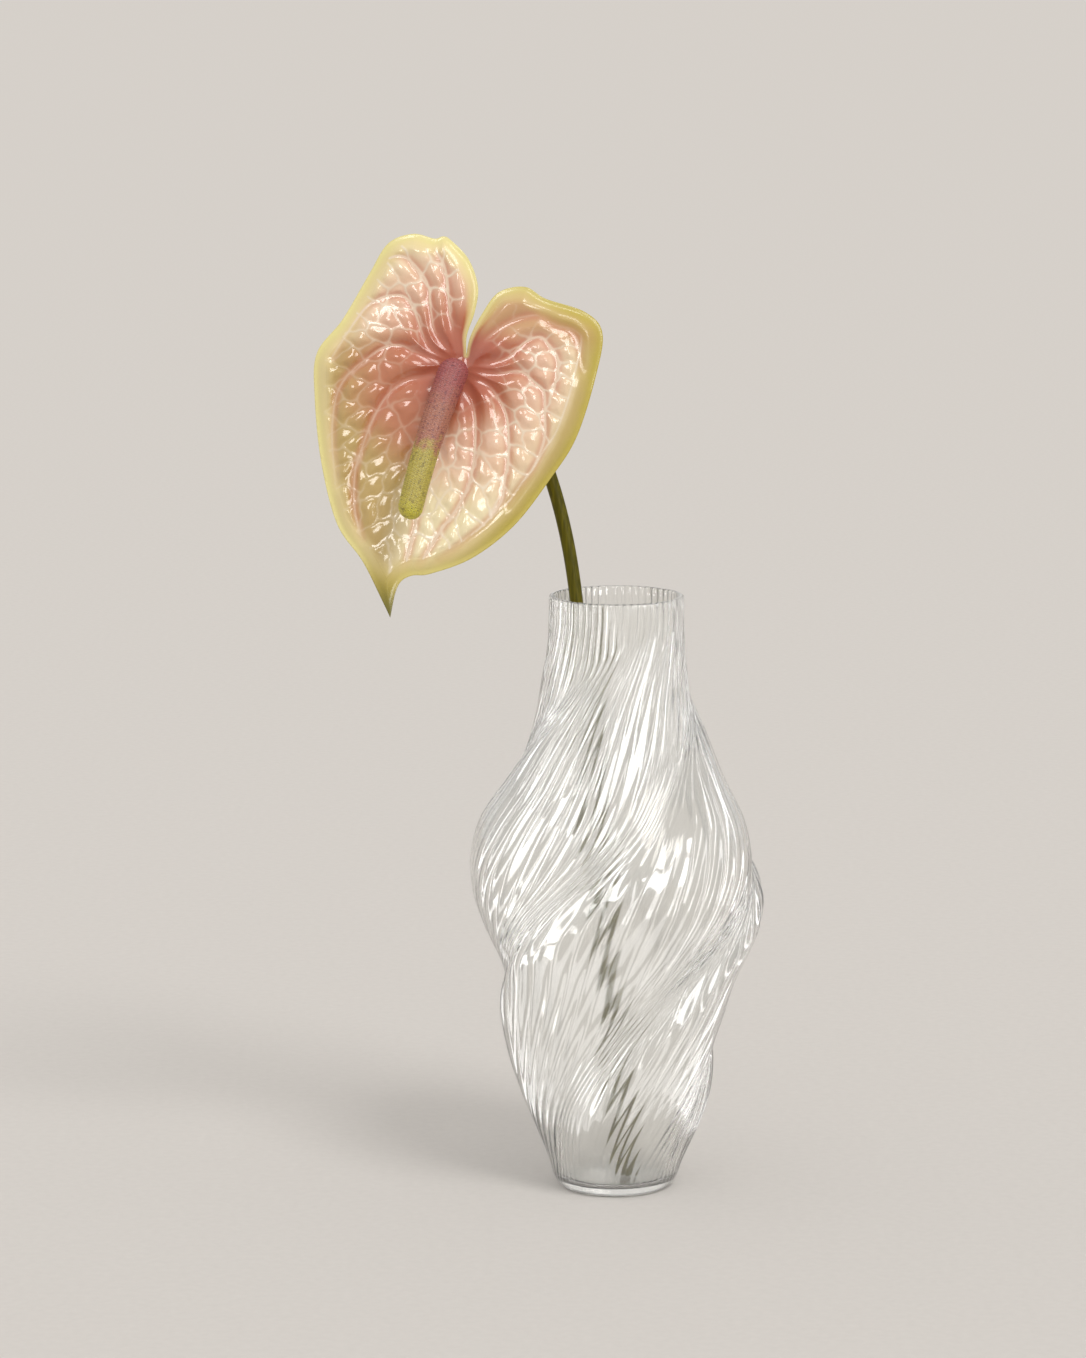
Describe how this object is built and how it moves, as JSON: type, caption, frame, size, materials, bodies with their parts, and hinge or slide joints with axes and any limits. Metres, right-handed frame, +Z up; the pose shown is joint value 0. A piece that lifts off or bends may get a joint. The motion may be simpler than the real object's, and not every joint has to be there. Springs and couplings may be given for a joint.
{
  "type": "cut anthurium stem in glass vase",
  "caption": "Single cut anthurium bloom on a curved stem, leaning on the rim of a tall clear glass vase with swirled ribs and folds.",
  "frame": {"origin": "centre of the flat underside of the vase's foot", "axes": "+Z up the vase, -Y towards the front of the bloom, +X to the right as seen from the front"},
  "size_m": [0.201, 0.1325, 0.4304],
  "materials": {
    "glass": "clear, polished, finely ribbed",
    "stem": "olive green, satin, smooth",
    "spathe": "waxy gloss, peach with yellow-green margin",
    "spadix": "finely knobbed, pink at the base to olive green at the tip"
  },
  "bodies": {
    "root": {"vase": "glass", "stem": "stem", "spathe": "spathe", "spadix": "spadix"}
  },
  "joints": []
}
